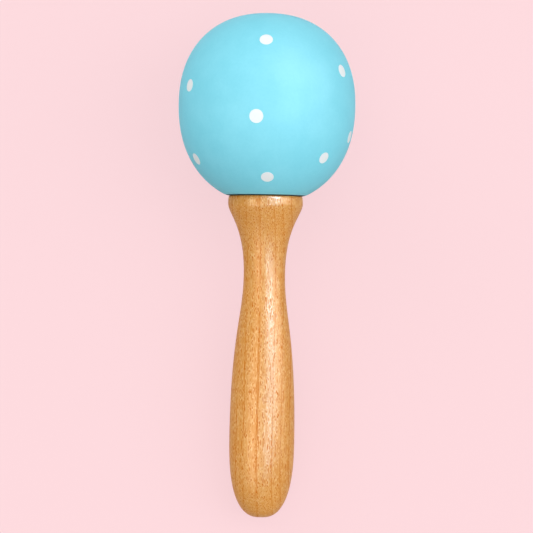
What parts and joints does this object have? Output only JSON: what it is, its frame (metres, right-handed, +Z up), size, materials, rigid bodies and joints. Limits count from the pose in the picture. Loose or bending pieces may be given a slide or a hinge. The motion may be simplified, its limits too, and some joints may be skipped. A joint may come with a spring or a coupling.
{
  "type": "baby maraca",
  "caption": "Baby maraca that lies on its side: a hollow light blue wooden head with white dots and loose shot inside, glued on a turned, lacquered beech handle.",
  "frame": {"origin": "on the table, under the middle of the bounding box, with the maraca lying on its side", "axes": "+Y from the butt of the handle towards the head, +Z up, +X across the maraca"},
  "size_m": [0.05, 0.1418, 0.0503],
  "materials": {
    "head_paint": "beech under matte light blue paint",
    "dot_paint": "matte white paint spots on the head",
    "handle_beech": "beech under clear satin lacquer",
    "shot": "plain bright steel"
  },
  "bodies": {
    "maraca": {"head_upper_half": "head_paint", "head_lower_half": "head_paint", "handle": "handle_beech"},
    "pellet_01": {"pellet_01": "shot"},
    "pellet_02": {"pellet_02": "shot"},
    "pellet_03": {"pellet_03": "shot"},
    "pellet_04": {"pellet_04": "shot"},
    "pellet_05": {"pellet_05": "shot"},
    "pellet_06": {"pellet_06": "shot"},
    "pellet_07": {"pellet_07": "shot"},
    "pellet_08": {"pellet_08": "shot"},
    "pellet_09": {"pellet_09": "shot"},
    "pellet_10": {"pellet_10": "shot"},
    "pellet_11": {"pellet_11": "shot"},
    "pellet_12": {"pellet_12": "shot"},
    "pellet_13": {"pellet_13": "shot"},
    "pellet_14": {"pellet_14": "shot"},
    "pellet_15": {"pellet_15": "shot"},
    "pellet_16": {"pellet_16": "shot"},
    "pellet_17": {"pellet_17": "shot"},
    "pellet_18": {"pellet_18": "shot"},
    "pellet_19": {"pellet_19": "shot"}
  },
  "joints": [
    {"name": "pellet_01_rattle", "type": "slide", "parent": "maraca", "child": "pellet_01", "axis": [0, 0, 1], "range_m": [0, 0.0346]},
    {"name": "pellet_02_rattle", "type": "slide", "parent": "maraca", "child": "pellet_02", "axis": [0, 0, 1], "range_m": [0, 0.0329]},
    {"name": "pellet_03_rattle", "type": "slide", "parent": "maraca", "child": "pellet_03", "axis": [0, 0, 1], "range_m": [0, 0.0333]},
    {"name": "pellet_04_rattle", "type": "slide", "parent": "maraca", "child": "pellet_04", "axis": [0, 0, 1], "range_m": [0, 0.0333]},
    {"name": "pellet_05_rattle", "type": "slide", "parent": "maraca", "child": "pellet_05", "axis": [0, 0, 1], "range_m": [0, 0.0329]},
    {"name": "pellet_06_rattle", "type": "slide", "parent": "maraca", "child": "pellet_06", "axis": [0, 0, 1], "range_m": [0, 0.0334]},
    {"name": "pellet_07_rattle", "type": "slide", "parent": "maraca", "child": "pellet_07", "axis": [0, 0, 1], "range_m": [0, 0.0334]},
    {"name": "pellet_08_rattle", "type": "slide", "parent": "maraca", "child": "pellet_08", "axis": [0, 0, 1], "range_m": [0, 0.0272]},
    {"name": "pellet_09_rattle", "type": "slide", "parent": "maraca", "child": "pellet_09", "axis": [0, 0, 1], "range_m": [0, 0.0298]},
    {"name": "pellet_10_rattle", "type": "slide", "parent": "maraca", "child": "pellet_10", "axis": [0, 0, 1], "range_m": [0, 0.0291]},
    {"name": "pellet_11_rattle", "type": "slide", "parent": "maraca", "child": "pellet_11", "axis": [0, 0, 1], "range_m": [0, 0.031]},
    {"name": "pellet_12_rattle", "type": "slide", "parent": "maraca", "child": "pellet_12", "axis": [0, 0, 1], "range_m": [0, 0.0291]},
    {"name": "pellet_13_rattle", "type": "slide", "parent": "maraca", "child": "pellet_13", "axis": [0, 0, 1], "range_m": [0, 0.0298]},
    {"name": "pellet_14_rattle", "type": "slide", "parent": "maraca", "child": "pellet_14", "axis": [0, 0, 1], "range_m": [0, 0.0272]},
    {"name": "pellet_15_rattle", "type": "slide", "parent": "maraca", "child": "pellet_15", "axis": [0, 0, 1], "range_m": [0, 0.0298]},
    {"name": "pellet_16_rattle", "type": "slide", "parent": "maraca", "child": "pellet_16", "axis": [0, 0, 1], "range_m": [0, 0.0296]},
    {"name": "pellet_17_rattle", "type": "slide", "parent": "maraca", "child": "pellet_17", "axis": [0, 0, 1], "range_m": [0, 0.0314]},
    {"name": "pellet_18_rattle", "type": "slide", "parent": "maraca", "child": "pellet_18", "axis": [0, 0, 1], "range_m": [0, 0.0296]},
    {"name": "pellet_19_rattle", "type": "slide", "parent": "maraca", "child": "pellet_19", "axis": [0, 0, 1], "range_m": [0, 0.0298]}
  ]
}
